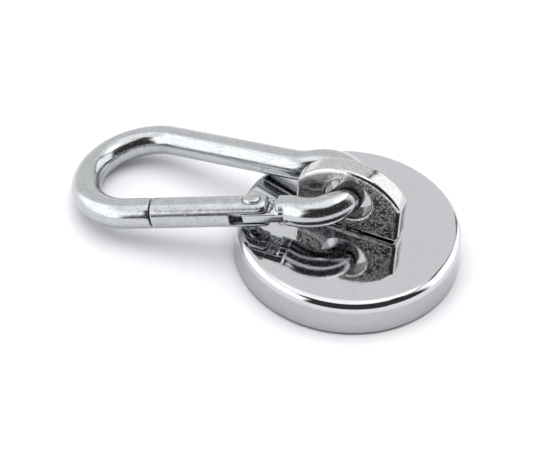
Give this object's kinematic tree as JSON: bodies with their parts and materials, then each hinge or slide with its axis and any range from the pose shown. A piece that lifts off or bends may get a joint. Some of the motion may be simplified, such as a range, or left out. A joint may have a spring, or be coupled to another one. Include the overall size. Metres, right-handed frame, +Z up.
{
  "type": "magnet fishing magnet with snap hook",
  "caption": "Round pot magnet in a chromed steel cup, with a turning eye on top and a spring snap hook lying to one side.",
  "frame": {"origin": "middle of the magnet's flat pulling face, on the floor", "axes": "+Z up out of the cup's top along the eye's swivel axis; the eye's plate stands along X; the snap hook lies towards -X with its gate on the -Y side"},
  "size_m": [0.0805, 0.045, 0.0224],
  "materials": {
    "chrome": "polished chrome plate",
    "nickel": "satin nickel plate over sintered magnet",
    "resin": "cast epoxy, dull",
    "zinc": "bright zinc plate, lightly scuffed",
    "steel": "plain steel"
  },
  "bodies": {
    "cup": {"cup_shell": "chrome", "ring_magnet": "nickel", "magnet_resin": "resin", "centre_plug": "resin", "swivel_washer": "steel"},
    "eye": {"eye_lug": "chrome"},
    "hook": {"hook_body": "zinc"},
    "gate": {"gate_sleeve": "zinc", "gate_rivet": "zinc", "gate_spring": "steel"},
    "plunger": {"gate_plunger": "steel"}
  },
  "joints": [
    {"name": "eye_swivel", "type": "hinge", "parent": "cup", "child": "eye", "pos_m": [0, 0, 0.00775], "axis": [0, 0, 1], "continuous": true},
    {"name": "hook_swing", "type": "hinge", "parent": "eye", "child": "hook", "pos_m": [0, 0, 0.01585], "axis": [0, 1, 0], "range_deg": [0, 206]},
    {"name": "gate_hinge", "type": "hinge", "parent": "hook", "child": "gate", "pos_m": [-0.01637, -0.00892, 0.01204], "axis": [0.2265, 0, -0.974], "range_deg": [0, 27], "stiffness_Nm_per_rad": 0.02, "springref_deg": -17.19},
    {"name": "plunger_travel", "type": "slide", "parent": "gate", "child": "plunger", "axis": [-0.949, -0.225, -0.2207], "range_m": [0, 0.0007], "deforming": ["gate_spring"]}
  ],
  "couplings": [
    {"joint": "plunger_travel", "follows": "gate_hinge", "m_per_rad": 0.001456}
  ]
}
